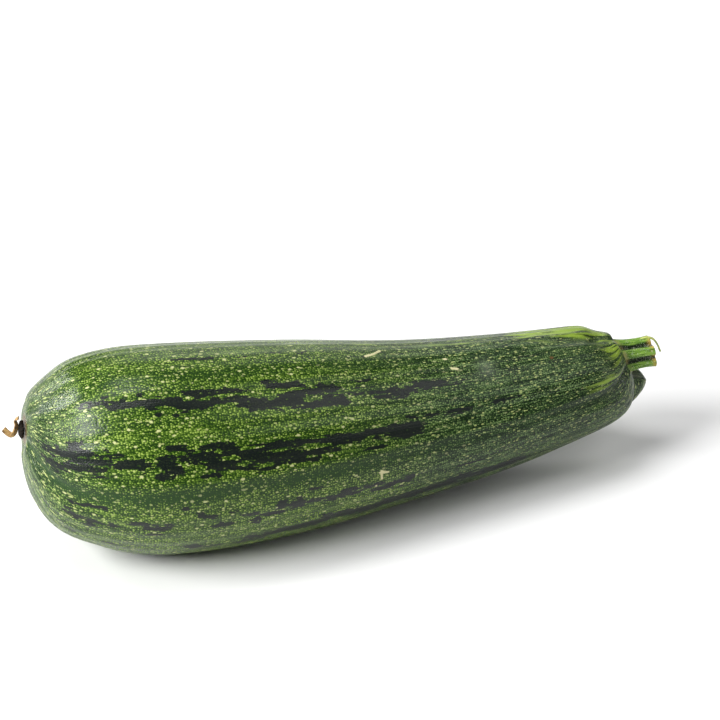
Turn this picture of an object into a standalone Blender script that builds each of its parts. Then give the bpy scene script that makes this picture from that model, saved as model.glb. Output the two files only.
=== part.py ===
"""A large dark green zucchini that lies on its side, with its cut stem and dried blossom.

Lengths are in metres and angles in degrees. +Z is up. X runs along the fruit, from the
blossom end at -X to the stem end at +X, and the side seen first faces -Y. The origin is on
the flat spot that the fruit rests on.
"""

import bpy
import bmesh
import numpy as np

# Fruit: overall form. Stations are distances from the blossom end along X.
FRUIT_LENGTH = 0.298
REST_SPOT = 0.107
BODY_STATIONS = (0.000, 0.035, 0.071, 0.106, 0.141, 0.177, 0.212, 0.248, 0.298)
BODY_RADII = (0.0500, 0.0487, 0.0487, 0.0468, 0.0434, 0.0386, 0.0346, 0.0301, 0.0223)
MIDDLE_STATIONS = (0.000, 0.061, 0.121, 0.182, 0.242, 0.298)
MIDDLE_HEIGHTS = (0.0492, 0.0474, 0.0437, 0.0391, 0.0397, 0.0437)
MIDDLE_OFFSETS = (0.0148, 0.0035, 0.0023, 0.0063, 0.0085, 0.0114)

# Fruit: rounding of its two ends, as superellipses
BLOSSOM_ROUNDING = 0.062
BLOSSOM_SQUARENESS = 2.35
STEM_ROUNDING = 0.030
STEM_SQUARENESS = 2.6

# Fruit: five-sided section. A narrow line runs along each of its five corners.
LOBES = 5
FIRST_LINE = 100.5
LINE_TWIST = -9.5
CORNER_MIDDLE = 0.015
CORNER_STEM = -0.030
GROOVE_MIDDLE = 0.006
GROOVE_BLOSSOM = 0.050
GROOVE_STEM = 0.110
GROOVE_WIDTH = 4.5
GROOVE_WIDTH_END = 9.0
STEM_LOBES_FROM = 0.78
BLOSSOM_LOBES_TO = 0.16

# Fruit: end faces. Each has a flat seat in a dimple, with the lobes' ends round it.
STEM_SEAT_DEPTH = 0.0028
STEM_SEAT_LIFT = 0.0070
STEM_LIFT_RADIUS = 0.0235
STEM_FACE_SLANT = 0.40
STEM_SEAT_RADIUS = 0.0100
STEM_RIM_RADIUS = 0.0140
STEM_FACE_GROOVE = 0.0025
BLOSSOM_SEAT_DEPTH = 0.0004
BLOSSOM_SEAT_LIFT = 0.0130
BLOSSOM_LIFT_RADIUS = 0.0400
BLOSSOM_FACE_SLANT = 0.15
BLOSSOM_SEAT_RADIUS = 0.0070
BLOSSOM_RIM_RADIUS = 0.0130
BLOSSOM_FACE_GROOVE = 0.0012
FACE_ZONE = 0.030
LOW_LOBE = 282.0
LOW_LOBE_SPREAD = 36.0
LOW_LOBE_REACH = 0.0098
LOW_LOBE_RADIUS = 0.0128
LOW_LOBE_DEPTH = 0.0074
FRONT_LOBE = 220.0
FRONT_LOBE_SPREAD = 55.0
FRONT_LOBE_REACH = 0.0021

# Stem
STEM_LENGTH = 0.0160
STEM_STATIONS = (0.0, 0.15, 0.40, 0.75, 1.0)
STEM_RADII = (0.0091, 0.0084, 0.0078, 0.0077, 0.0081)
STEM_VALLEYS = (38.0, 113.0, 175.0, 241.0, 316.0)
STEM_VALLEY_DEPTH = 0.30
STEM_VALLEY_WIDTH = 13.0
STEM_CUT_SLANT = 0.14
STEM_CUT_HOLLOW = 0.0008
STEM_DISC = 0.16

# Torn strip of skin on the stem: points along it, from the stem's seat
STRIP_POINTS = (
    (0.0090, 0.0010, 0.0064),
    (0.0130, 0.0008, 0.0078),
    (0.0165, 0.0004, 0.0072),
    (0.0190, 0.0000, 0.0044),
    (0.0212, -0.0004, -0.0004),
)
STRIP_WIDTH = 0.0016
STRIP_THICKNESS = 0.0009

# Dried base of the flower
SCAR_RADIUS = 0.0040
SCAR_HEIGHT = 0.0024
SCAR_TIP_RADIUS = 0.0016

# Dried curl of petal: points along it, from the blossom seat
CURL_POINTS = (
    (-0.0020, 0.0006, 0.0060),
    (-0.0036, 0.0010, 0.0046),
    (-0.0033, 0.0004, 0.0030),
    (-0.0038, 0.0000, 0.0008),
    (-0.0046, -0.0004, -0.0010),
    (-0.0060, -0.0006, -0.0017),
    (-0.0076, -0.0002, -0.0006),
    (-0.0092, 0.0004, 0.0014),
)
CURL_WIDTH = 0.0022
CURL_THICKNESS = 0.0008

# Clearance between neighbouring pieces
GAP = 0.0003

# Mesh fineness
FRUIT_SEGMENTS = 60
FRUIT_RINGS = 56
RING_CROWDING = 0.45
STEM_SEGMENTS = 40
STEM_RINGS = 20
SCAR_SEGMENTS = 15
SCAR_RINGS = 8

# Colours, roughness
SKIN_GREEN = (0.085, 0.160, 0.045, 1.0)
STEM_GREEN = (0.120, 0.230, 0.060, 1.0)
SCAR_BLACK = (0.020, 0.016, 0.012, 1.0)
PETAL_TAN = (0.480, 0.290, 0.110, 1.0)


def clear_scene():
    for item in list(bpy.data.objects):
        bpy.data.objects.remove(item, do_unlink=True)


def new_collection(name):
    collection = bpy.data.collections.new(name)
    bpy.context.scene.collection.children.link(collection)
    return collection


def move_to(collection, item):
    for owner in list(item.users_collection):
        owner.objects.unlink(item)
    collection.objects.link(item)


def principled(name, colour, roughness):
    material = bpy.data.materials.new(name)
    material.use_nodes = True
    shader = material.node_tree.nodes["Principled BSDF"]
    shader.inputs["Base Color"].default_value = colour
    shader.inputs["Roughness"].default_value = roughness
    shader.inputs["Metallic"].default_value = 0.0
    return material


def curve_through(stations, values, at):
    """Natural cubic spline through the values at the stations."""
    xs = np.asarray(stations, dtype=float)
    ys = np.asarray(values, dtype=float)
    count = len(xs)
    step = np.diff(xs)
    system = np.eye(count)
    right = np.zeros(count)
    for i in range(1, count - 1):
        system[i, i - 1:i + 2] = step[i - 1], 2.0 * (step[i - 1] + step[i]), step[i]
        right[i] = 6.0 * ((ys[i + 1] - ys[i]) / step[i] - (ys[i] - ys[i - 1]) / step[i - 1])
    bend = np.linalg.solve(system, right)
    k = np.clip(np.searchsorted(xs, at) - 1, 0, count - 2)
    width = step[k]
    after = at - xs[k]
    before = xs[k + 1] - at
    cubic = (bend[k] * before ** 3 + bend[k + 1] * after ** 3) / (6.0 * width)
    start = (ys[k] / width - bend[k] * width / 6.0) * before
    end = (ys[k + 1] / width - bend[k + 1] * width / 6.0) * after
    return cubic + start + end


def ease(low, high, value):
    """0 below low, 1 above high, smooth between."""
    k = np.clip((value - low) / (high - low), 0.0, 1.0)
    return k * k * (3.0 - 2.0 * k)


def rounded_end(distance, length, squareness):
    """Share of the full radius at a distance from the tip of a superellipse end."""
    k = np.clip(1.0 - distance / length, 0.0, 1.0)
    return (1.0 - k ** squareness) ** (1.0 / squareness)


def nearest(angle, centre):
    """Signed angle from the centre, in degrees between -180 and 180."""
    return (angle - centre + 180.0) % 360.0 - 180.0


def body_radius(station):
    radius = curve_through(BODY_STATIONS, BODY_RADII, station)
    blossom = rounded_end(station, BLOSSOM_ROUNDING, BLOSSOM_SQUARENESS)
    stem = rounded_end(FRUIT_LENGTH - station, STEM_ROUNDING, STEM_SQUARENESS)
    return radius * blossom * stem


def middle_line(station):
    """Side and height of the fruit's middle at a station."""
    side = curve_through(MIDDLE_STATIONS, MIDDLE_OFFSETS, station)
    height = curve_through(MIDDLE_STATIONS, MIDDLE_HEIGHTS, station)
    return side, height


def from_corner_line(station, angle):
    """Angle from the first corner line, and angle from the nearest one, in degrees."""
    turned = angle - FIRST_LINE - LINE_TWIST * (station / FRUIT_LENGTH - 0.5)
    spacing = 360.0 / LOBES
    return turned, (turned + spacing / 2.0) % spacing - spacing / 2.0


def section_factor(station, angle):
    """Five-sided section: corners along the body, lobes with grooves at both ends."""
    share = station / FRUIT_LENGTH
    at_stem = ease(STEM_LOBES_FROM, 1.0, share)
    at_blossom = 1.0 - ease(0.0, BLOSSOM_LOBES_TO, share)
    corner = CORNER_MIDDLE * (1.0 - at_blossom) + (CORNER_STEM - CORNER_MIDDLE) * at_stem
    groove = GROOVE_MIDDLE + (GROOVE_BLOSSOM - GROOVE_MIDDLE) * at_blossom
    groove = groove + (GROOVE_STEM - GROOVE_MIDDLE) * at_stem ** 1.5
    width = GROOVE_WIDTH + (GROOVE_WIDTH_END - GROOVE_WIDTH) * np.maximum(at_stem, at_blossom)
    turned, off_line = from_corner_line(station, angle)
    wave = np.cos(np.radians(LOBES * turned))
    return 1.0 + corner * wave - groove * np.exp(-(off_line / width) ** 2)


def bump(distance, width):
    """1 at no distance, staying near 1 and then falling off round the width."""
    return np.exp(-(distance / width) ** 4)


def seat_lift(station, radius):
    """How far a ring of an end face is lifted, so that its seat is above the middle."""
    past_stem_seat = ease(STEM_SEAT_RADIUS, STEM_LIFT_RADIUS, radius)
    past_blossom_seat = ease(BLOSSOM_SEAT_RADIUS, BLOSSOM_LIFT_RADIUS, radius)
    at_stem = STEM_SEAT_LIFT * (1.0 - past_stem_seat)
    at_blossom = BLOSSOM_SEAT_LIFT * (1.0 - past_blossom_seat)
    return np.where(station > FRUIT_LENGTH / 2.0, at_stem, at_blossom)


def stem_face(station, angle, radius, rise):
    """X at the stem end: a slanted face with a flat seat, lobes round it and grooves."""
    near = ease(FRUIT_LENGTH - FACE_ZONE, FRUIT_LENGTH, station)
    valley = np.exp(-(from_corner_line(station, angle)[1] / GROOVE_WIDTH_END) ** 2)
    nose = bump(radius - LOW_LOBE_RADIUS, LOW_LOBE_DEPTH)
    reach = LOW_LOBE_REACH * nose * bump(nearest(angle, LOW_LOBE), LOW_LOBE_SPREAD)
    seat = FRUIT_LENGTH - STEM_SEAT_DEPTH
    x = station + near * (reach - STEM_FACE_GROOVE * valley)
    x = seat + (x - seat) * ease(STEM_SEAT_RADIUS, STEM_RIM_RADIUS, radius)
    return x - near * STEM_FACE_SLANT * rise


def blossom_face(station, angle, radius, rise):
    """X at the blossom end: a slanted face with a flat seat, lobes round it and grooves."""
    near = 1.0 - ease(0.0, FACE_ZONE, station)
    valley = np.exp(-(from_corner_line(station, angle)[1] / GROOVE_WIDTH_END) ** 2)
    reach = FRONT_LOBE_REACH * bump(nearest(angle, FRONT_LOBE), FRONT_LOBE_SPREAD)
    x = station + near * (BLOSSOM_FACE_GROOVE * valley - reach)
    on_rim = ease(BLOSSOM_SEAT_RADIUS, BLOSSOM_RIM_RADIUS, radius)
    x = BLOSSOM_SEAT_DEPTH + (x - BLOSSOM_SEAT_DEPTH) * on_rim
    return x + near * BLOSSOM_FACE_SLANT * rise


def fruit_skin(along, angle):
    """Points of the skin. along runs from 0 at the blossom end to 1 at the stem end."""
    crowded = along - RING_CROWDING * np.sin(2.0 * np.pi * along) / (2.0 * np.pi)
    station = FRUIT_LENGTH * (1.0 - np.cos(np.pi * crowded)) / 2.0
    radius = body_radius(station) * section_factor(station, angle)
    side, height = middle_line(station)
    rise = radius * np.sin(np.radians(angle)) + seat_lift(station, radius)
    at_stem = stem_face(station, angle, radius, rise)
    at_blossom = blossom_face(station, angle, radius, rise)
    x = np.where(station > FRUIT_LENGTH / 2.0, at_stem, at_blossom) - REST_SPOT
    y = side + radius * np.cos(np.radians(angle))
    return x, y, np.maximum(height + rise, 0.0)


def stem_seat():
    """Middle of the flat seat that the stem grows from."""
    side, height = middle_line(np.array([FRUIT_LENGTH]))
    x = FRUIT_LENGTH - STEM_SEAT_DEPTH - STEM_FACE_SLANT * STEM_SEAT_LIFT - REST_SPOT
    return np.array([x, side[0], height[0] + STEM_SEAT_LIFT])


def blossom_seat():
    """Middle of the flat seat that carries the dried flower."""
    side, height = middle_line(np.array([0.0]))
    x = BLOSSOM_SEAT_DEPTH + BLOSSOM_FACE_SLANT * BLOSSOM_SEAT_LIFT - REST_SPOT
    return np.array([x, side[0], height[0] + BLOSSOM_SEAT_LIFT])


def stem_skin(along, angle):
    """Ridged stem with a disc at each end, from its seat outwards."""
    share = np.clip((along - STEM_DISC) / (1.0 - 2.0 * STEM_DISC), 0.0, 1.0)
    in_disc = np.clip(np.minimum(along, 1.0 - along) / STEM_DISC, 0.0, 1.0)
    radius = curve_through(STEM_STATIONS, STEM_RADII, share)
    for valley in STEM_VALLEYS:
        depth = STEM_VALLEY_DEPTH * np.exp(-(nearest(angle, valley) / STEM_VALLEY_WIDTH) ** 2)
        radius = radius * (1.0 - depth)
    radius = radius * in_disc
    y = radius * np.cos(np.radians(angle))
    z = radius * np.sin(np.radians(angle))
    cut = STEM_LENGTH - STEM_CUT_SLANT * z - STEM_CUT_HOLLOW * (1.0 - in_disc)
    x = share * cut - (1.0 - share) * STEM_FACE_SLANT * z
    seat = stem_seat()
    return seat[0] + GAP + x, seat[1] + y, seat[2] + z


def scar_skin(along, angle):
    """Low dried cone, wide on its seat and narrow at its tip, which points to -X."""
    share = 1.0 - along
    radius = SCAR_TIP_RADIUS + (SCAR_RADIUS - SCAR_TIP_RADIUS) * np.sqrt(1.0 - share ** 2)
    radius = radius * np.sqrt(np.sin(np.pi * along))
    radius = radius * (1.0 + 0.12 * np.cos(np.radians(LOBES * angle)))
    seat = blossom_seat()
    y = radius * np.cos(np.radians(angle))
    z = radius * np.sin(np.radians(angle))
    x = BLOSSOM_FACE_SLANT * z - GAP - SCAR_HEIGHT * ease(0.0, 1.0, share)
    return seat[0] + x, seat[1] + y, seat[2] + z


def reshaped_ball(name, segments, rings, skin):
    """UV sphere with its poles along X, whose points are moved to the given skin."""
    bpy.ops.mesh.primitive_uv_sphere_add(segments=segments, ring_count=rings, radius=1.0)
    ball = bpy.context.active_object
    ball.name = name
    ball.data.name = name
    points = np.array([corner.co[:] for corner in ball.data.vertices])
    along = 1.0 - np.arccos(np.clip(points[:, 2], -1.0, 1.0)) / np.pi
    angle = np.degrees(np.arctan2(points[:, 1], points[:, 0]))
    for corner, place in zip(ball.data.vertices, np.stack(skin(along, angle), axis=1)):
        corner.co = place
    ball.data.shade_smooth()
    return ball


def ribbon(name, points, base, width, thickness):
    """Flat strip with round edges along a smooth curve, as a mesh."""
    curve = bpy.data.curves.new(name, "CURVE")
    curve.dimensions = "3D"
    curve.extrude = (width - thickness) / 2.0
    curve.bevel_depth = thickness / 2.0
    curve.bevel_resolution = 1
    curve.resolution_u = 3
    curve.use_fill_caps = True
    line = curve.splines.new("BEZIER")
    line.bezier_points.add(len(points) - 1)
    for knot, point in zip(line.bezier_points, points):
        knot.co = np.array(point) + base
        knot.handle_left_type = "AUTO"
        knot.handle_right_type = "AUTO"
        knot.tilt = np.pi / 2.0
    guide = bpy.data.objects.new(name + "_guide", curve)
    bpy.context.scene.collection.objects.link(guide)
    bpy.context.view_layer.update()
    seen = guide.evaluated_get(bpy.context.evaluated_depsgraph_get())
    mesh = bpy.data.meshes.new_from_object(seen)
    shape = bmesh.new()
    shape.from_mesh(mesh)
    bmesh.ops.remove_doubles(shape, verts=shape.verts, dist=0.00001)
    bmesh.ops.recalc_face_normals(shape, faces=shape.faces)
    shape.to_mesh(mesh)
    shape.free()
    strip = bpy.data.objects.new(name, mesh)
    bpy.context.scene.collection.objects.link(strip)
    strip.matrix_world = guide.matrix_world
    bpy.data.objects.remove(guide)
    strip.data.shade_smooth()
    return strip


def build_fruit(parts):
    fruit = reshaped_ball("fruit", FRUIT_SEGMENTS, FRUIT_RINGS, fruit_skin)
    fruit.data.materials.append(principled("skin", SKIN_GREEN, 0.35))
    move_to(parts, fruit)


def build_stem(parts, cutters):
    stem = reshaped_ball("stem", STEM_SEGMENTS, STEM_RINGS, stem_skin)
    stem.data.materials.append(principled("stem", STEM_GREEN, 0.55))
    move_to(parts, stem)
    strip = ribbon("torn_strip", STRIP_POINTS, stem_seat(), STRIP_WIDTH, STRIP_THICKNESS)
    strip.hide_render = True
    strip.display_type = "WIRE"
    move_to(cutters, strip)
    union = stem.modifiers.new("torn_strip", "BOOLEAN")
    union.operation = "UNION"
    union.solver = "EXACT"
    union.object = strip


def build_blossom(parts):
    scar = reshaped_ball("blossom_scar", SCAR_SEGMENTS, SCAR_RINGS, scar_skin)
    scar.data.materials.append(principled("scar", SCAR_BLACK, 0.8))
    move_to(parts, scar)
    curl = ribbon("dried_blossom", CURL_POINTS, blossom_seat(), CURL_WIDTH, CURL_THICKNESS)
    curl.data.materials.append(principled("petal", PETAL_TAN, 0.7))
    move_to(parts, curl)


def main():
    clear_scene()
    parts = new_collection("zucchini")
    cutters = new_collection("zucchini_cutters")
    build_fruit(parts)
    build_stem(parts, cutters)
    build_blossom(parts)


main()
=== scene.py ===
"""Looks of a large dark green zucchini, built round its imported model.

Lengths are in metres and angles in degrees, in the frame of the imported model: +Z up, X from
the blossom end to the stem end, and the origin on the flat spot under the fruit. A station is
a distance along X from the blossom end. An angle goes round the fruit, 0 at +Y and 90 on top.
"""

import bpy
import numpy as np
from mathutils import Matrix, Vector


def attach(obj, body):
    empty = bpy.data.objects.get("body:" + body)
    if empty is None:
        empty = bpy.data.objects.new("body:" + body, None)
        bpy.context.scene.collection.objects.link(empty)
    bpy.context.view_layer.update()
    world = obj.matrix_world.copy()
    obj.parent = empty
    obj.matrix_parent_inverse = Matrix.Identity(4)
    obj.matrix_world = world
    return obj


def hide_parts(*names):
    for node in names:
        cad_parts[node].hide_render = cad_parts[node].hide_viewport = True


# Fruit: overall form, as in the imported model
FRUIT_LENGTH = 0.298
REST_SPOT = 0.107
BODY_STATIONS = (0.000, 0.035, 0.071, 0.106, 0.141, 0.177, 0.212, 0.248, 0.298)
BODY_RADII = (0.0500, 0.0487, 0.0487, 0.0468, 0.0434, 0.0386, 0.0346, 0.0301, 0.0223)
MIDDLE_STATIONS = (0.000, 0.061, 0.121, 0.182, 0.242, 0.298)
MIDDLE_HEIGHTS = (0.0492, 0.0474, 0.0437, 0.0391, 0.0397, 0.0437)
MIDDLE_OFFSETS = (0.0148, 0.0035, 0.0023, 0.0063, 0.0085, 0.0114)
BLOSSOM_ROUNDING = 0.062
BLOSSOM_SQUARENESS = 2.35
STEM_ROUNDING = 0.030
STEM_SQUARENESS = 2.6

# Fruit: five-sided section with a line along each corner
LOBES = 5
FIRST_LINE = 100.5
LINE_TWIST = -9.5
CORNER_MIDDLE = 0.015
CORNER_STEM = -0.030
GROOVE_MIDDLE = 0.006
GROOVE_BLOSSOM = 0.050
GROOVE_STEM = 0.110
GROOVE_WIDTH = 4.5
GROOVE_WIDTH_END = 9.0
STEM_LOBES_FROM = 0.78
BLOSSOM_LOBES_TO = 0.16

# Fruit: end faces, each with a flat seat in a dimple
STEM_SEAT_DEPTH = 0.0028
STEM_SEAT_LIFT = 0.0070
STEM_LIFT_RADIUS = 0.0235
STEM_FACE_SLANT = 0.40
STEM_SEAT_RADIUS = 0.0100
STEM_RIM_RADIUS = 0.0140
STEM_FACE_GROOVE = 0.0025
BLOSSOM_SEAT_DEPTH = 0.0004
BLOSSOM_SEAT_LIFT = 0.0130
BLOSSOM_LIFT_RADIUS = 0.0400
BLOSSOM_FACE_SLANT = 0.15
BLOSSOM_SEAT_RADIUS = 0.0070
BLOSSOM_RIM_RADIUS = 0.0130
BLOSSOM_FACE_GROOVE = 0.0012
FACE_ZONE = 0.030
LOW_LOBE = 282.0
LOW_LOBE_SPREAD = 36.0
LOW_LOBE_REACH = 0.0098
LOW_LOBE_RADIUS = 0.0128
LOW_LOBE_DEPTH = 0.0074
FRONT_LOBE = 220.0
FRONT_LOBE_SPREAD = 55.0
FRONT_LOBE_REACH = 0.0021

# Stem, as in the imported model
STEM_LENGTH = 0.0160
STEM_STATIONS = (0.0, 0.15, 0.40, 0.75, 1.0)
STEM_RADII = (0.0091, 0.0084, 0.0078, 0.0077, 0.0081)
STEM_VALLEYS = (38.0, 113.0, 175.0, 241.0, 316.0)
STEM_VALLEY_DEPTH = 0.30
STEM_VALLEY_WIDTH = 13.0
STEM_CUT_SLANT = 0.14
STEM_CUT_HOLLOW = 0.0008
STEM_DISC = 0.16
CUT_FACE = (0.999, 1.0)
CUT_RIM = (0.70, 0.92)
STRIP_POINTS = (
    (0.0090, 0.0010, 0.0064),
    (0.0130, 0.0008, 0.0078),
    (0.0165, 0.0004, 0.0072),
    (0.0190, 0.0000, 0.0044),
    (0.0212, -0.0004, -0.0004),
)
STRIP_WIDTH = 0.0016
STRIP_THICKNESS = 0.0009

# Dried flower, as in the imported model
SCAR_RADIUS = 0.0040
SCAR_HEIGHT = 0.0024
SCAR_TIP_RADIUS = 0.0016
CURL_POINTS = (
    (-0.0020, 0.0006, 0.0060),
    (-0.0036, 0.0010, 0.0046),
    (-0.0033, 0.0004, 0.0030),
    (-0.0038, 0.0000, 0.0008),
    (-0.0046, -0.0004, -0.0010),
    (-0.0060, -0.0006, -0.0017),
    (-0.0076, -0.0002, -0.0006),
    (-0.0092, 0.0004, 0.0014),
)
CURL_WIDTH = 0.0027
CURL_THICKNESS = 0.0008
CURL_TWIST = 105.0
GAP = 0.0003

# Fineness of the visible meshes
FRUIT_RINGS = 290
FRUIT_SEGMENTS = 340
PROFILE_POINTS = 4000
STEM_RINGS = 90
STEM_SEGMENTS = 150
SCAR_RINGS = 36
SCAR_SEGMENTS = 60

# Fine relief: low ribs along the fruit, fibres along the stem and wrinkles on the scar
RIB_COUNT = 34
RIB_HEIGHT = 0.00012
STEM_FIBRES = 41
STEM_FIBRE_HEIGHT = 0.00012
STEM_FIBRE_TURN = 200.0
SCAR_WRINKLES = 11
SCAR_WRINKLE_HEIGHT = 0.00050
SCAR_WRINKLE_TURN = 300.0
SCAR_LOBE_SHARE = 0.12

# Radius at which the markings have their full size. They narrow with the fruit.
TYPICAL_RADIUS = 0.0450

# Dark lines along the corners: angle from the first corner, half width and strength
LINES = (
    (3.5, 0.0028, 0.38), (70.0, 0.0036, 1.00), (143.0, 0.0030, 0.85), (217.0, 0.0030, 0.85),
    (288.0, 0.0030, 0.85),
)

# Near-black streaks on the side seen first: start and end station in millimetres, angle, half
# width in degrees and strength. They lie in lanes to both sides of the corner lines.
UPPER_LANE = (
    (22, 40, 118.0, 2.0, 0.66), (34, 38, 115.5, 1.3, 0.90), (36, 54, 121.5, 2.6, 1.00),
    (49, 52, 117.0, 1.5, 0.90), (50, 70, 122.2, 2.8, 1.00), (54, 59, 128.3, 1.2, 0.85),
    (61, 67, 129.2, 1.2, 0.80), (64, 82, 124.6, 2.8, 1.00), (68, 98, 118.0, 1.8, 1.00),
    (79, 92, 123.0, 2.0, 0.95), (90, 101, 124.5, 3.4, 1.00), (97, 124, 127.0, 3.6, 1.00),
    (96, 103, 130.0, 1.8, 0.90), (105, 113, 114.5, 2.0, 1.00), (107, 126, 117.2, 1.8, 1.00),
    (114, 129, 121.8, 1.7, 1.00), (120, 146, 130.0, 1.8, 1.00), (130, 145, 127.2, 1.6, 0.90),
    (126, 142, 121.0, 2.2, 1.00), (131, 134, 117.0, 1.6, 0.90), (132, 166, 125.8, 1.3, 0.80),
    (144, 158, 117.0, 1.3, 0.62), (146, 160, 121.2, 1.6, 0.66), (156, 176, 128.6, 1.9, 0.90),
    (164, 182, 125.6, 2.1, 0.90), (176, 193, 123.2, 3.0, 0.90), (182, 188, 117.5, 1.2, 0.60),
    (189, 206, 124.6, 2.6, 0.72),
)
LOWER_LANE = (
    (3, 13, 151.0, 5.0, 0.85), (14, 23, 143.2, 3.2, 0.90), (8, 20, 148.5, 3.0, 0.95),
    (15, 36, 152.8, 2.2, 0.95), (2, 15, 161.0, 4.0, 0.75), (21, 31, 157.4, 1.6, 0.90),
    (18, 28, 147.6, 2.4, 0.85), (11, 24, 157.0, 2.2, 0.85), (27, 40, 149.8, 1.4, 0.80),
    (34, 54, 155.6, 1.8, 0.90), (24, 34, 161.0, 1.3, 0.75),
    (31, 34, 146.5, 1.3, 0.85), (33, 51, 153.6, 1.5, 1.00), (42, 50, 157.2, 1.6, 0.95),
    (51, 61, 154.0, 3.6, 1.00), (55, 64, 158.2, 2.2, 1.00), (49, 60, 162.0, 1.5, 0.95),
    (56, 68, 147.0, 1.3, 0.95), (71, 87, 147.4, 1.4, 0.95), (80, 91, 149.6, 1.2, 0.90),
    (63, 81, 152.6, 2.8, 1.00), (73, 87, 157.4, 2.6, 1.00), (70, 82, 163.0, 1.2, 0.90),
    (80, 92, 151.6, 1.8, 0.95), (88, 103, 153.8, 4.0, 1.00), (84, 98, 161.2, 1.4, 0.90),
    (94, 105, 162.4, 1.4, 0.95), (103, 110, 159.6, 2.0, 1.00), (100, 136, 150.8, 1.8, 1.00),
    (100, 119, 156.2, 2.4, 1.00), (116, 137, 157.2, 1.7, 1.00), (111, 128, 161.0, 1.2, 0.90),
    (132, 151, 152.2, 2.8, 1.00), (147, 164, 150.8, 2.3, 1.00), (151, 158, 155.0, 1.8, 0.90),
    (159, 180, 152.8, 4.2, 1.05), (146, 161, 160.6, 1.2, 0.85), (170, 178, 145.5, 1.4, 0.80),
    (179, 205, 146.0, 1.9, 0.85), (213, 232, 145.0, 1.5, 0.72),
)
LOW_LOBE_LANE = (
    (14, 23, 184.0, 1.2, 0.85), (20, 31, 182.4, 1.2, 0.90), (13, 18, 190.0, 1.8, 0.80),
    (12, 28, 194.6, 1.8, 0.90), (30, 35, 195.0, 1.9, 0.95), (20, 26, 199.0, 1.9, 0.85),
    (38, 48, 190.6, 1.4, 0.90), (43, 56, 194.4, 2.4, 1.00), (53, 57, 191.0, 1.8, 0.95),
    (45, 54, 200.0, 1.5, 0.85), (60, 65, 180.0, 1.2, 0.80), (67, 72, 185.6, 1.7, 0.95),
    (70, 77, 187.2, 1.6, 1.00), (80, 88, 186.0, 1.2, 0.85), (87, 96, 189.6, 1.3, 0.90),
    (74, 84, 194.8, 1.9, 1.00), (92, 98, 195.6, 2.8, 0.95), (96, 109, 192.4, 1.6, 1.00),
    (104, 110, 187.0, 4.0, 1.00), (108, 119, 187.6, 3.4, 1.00), (117, 128, 188.2, 1.8, 1.00),
    (126, 147, 189.2, 2.1, 1.00), (134, 145, 186.2, 1.7, 1.00), (146, 158, 187.0, 1.5, 0.90),
    (150, 159, 191.2, 1.5, 0.90), (157, 170, 190.4, 2.3, 1.00), (168, 174, 190.0, 4.0, 1.00),
    (118, 131, 179.6, 1.2, 0.75), (195, 212, 191.0, 1.5, 0.65), (162, 176, 195.0, 1.3, 0.70),
)
LOWEST_LANE = (
    (14, 20, 216.0, 1.9, 0.65), (26, 34, 218.5, 1.6, 0.72), (62, 72, 216.5, 2.1, 0.88),
    (64, 82, 219.4, 1.5, 0.78), (90, 107, 215.0, 3.4, 0.95), (84, 101, 220.4, 2.6, 0.85),
    (104, 131, 214.0, 3.8, 1.00), (126, 147, 211.2, 4.4, 1.00), (145, 161, 213.4, 4.0, 1.00),
    (156, 186, 211.0, 4.8, 1.00), (182, 233, 210.5, 5.4, 0.92),
)
TOP_LANE = (
    (50, 60, 88.0, 1.5, 0.62), (68, 88, 94.0, 1.6, 0.76), (96, 106, 94.5, 1.3, 0.66),
    (113, 121, 92.0, 1.4, 0.62), (125, 134, 92.5, 1.6, 0.62), (137, 146, 92.0, 1.4, 0.60),
)
STREAKS = UPPER_LANE + LOWER_LANE + LOW_LOBE_LANE + LOWEST_LANE + TOP_LANE

# Streaks on the sides not seen: lanes at these angles, filled by a seeded draw
HIDDEN_LANES = (263.0, 297.0, 335.0, 9.0, 47.0)
LANE_START = (0.010, 0.035)
LANE_END = 0.225
STREAK_LENGTHS = (0.014, 0.042)
STREAK_GAPS = (-0.022, 0.006)
STREAK_OFFSETS = (-5.0, 5.0)
STREAK_HALF_WIDTHS = (1.4, 3.6)
STREAK_STRENGTHS = (0.70, 1.00)
STREAK_FADE = 0.0040
STREAK_SPREAD = 1.34

# Yellow-green patches near the stem and a pale stripe on top, given as the streaks are
GLOWS = (
    (234, 294, 76.0, 13.0, 0.95), (281, 299, 116.0, 15.0, 1.15), (264, 293, 153.0, 5.0, 0.90),
    (150, 236, 84.0, 9.0, 0.40), (272, 299, 20.0, 14.0, 0.80), (262, 296, 238.0, 9.0, 0.60),
    (274, 299, 308.0, 13.0, 0.80),
)
GLOW_FADE = 0.0140

# Corky healed scratches: station in millimetres and angle of both ends, half width in metres
SCRATCHES = (
    ((159, 97), (163, 95), 0.0008),
    ((163, 95), (168, 91), 0.0007),
    ((156, 177), (156, 183), 0.0007),
    ((155, 178), (159, 179), 0.0007),
    ((153, 188), (153, 189), 0.0007),
    ((197, 104), (198, 104), 0.0007),
    ((199, 113), (202, 114), 0.0007),
    ((120, 262), (125, 265), 0.0007),
    ((182, 330), (187, 332), 0.0006),
)
BROWN_SPOT = (250, 116, 0.0012)
# Painted highlight: a pale grey-green sheen spot on the upper flank, as station in millimetres,
# angle and radius in metres
PAINTED_SHEEN_SPOT = (216, 116, 0.0045)

# Bristles on the stem
BRISTLE_COUNT = 620
BRISTLE_LENGTHS = (0.0005, 0.0013)
BRISTLE_RADIUS = 0.00008
BRISTLE_SIDES = 3
BRISTLE_LEAN = 0.5
BRISTLE_LEANS = (-0.3, 1.0)
BRISTLE_STRETCH = (0.03, 0.92)
BRISTLE_SCATTER = 20.0

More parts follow.
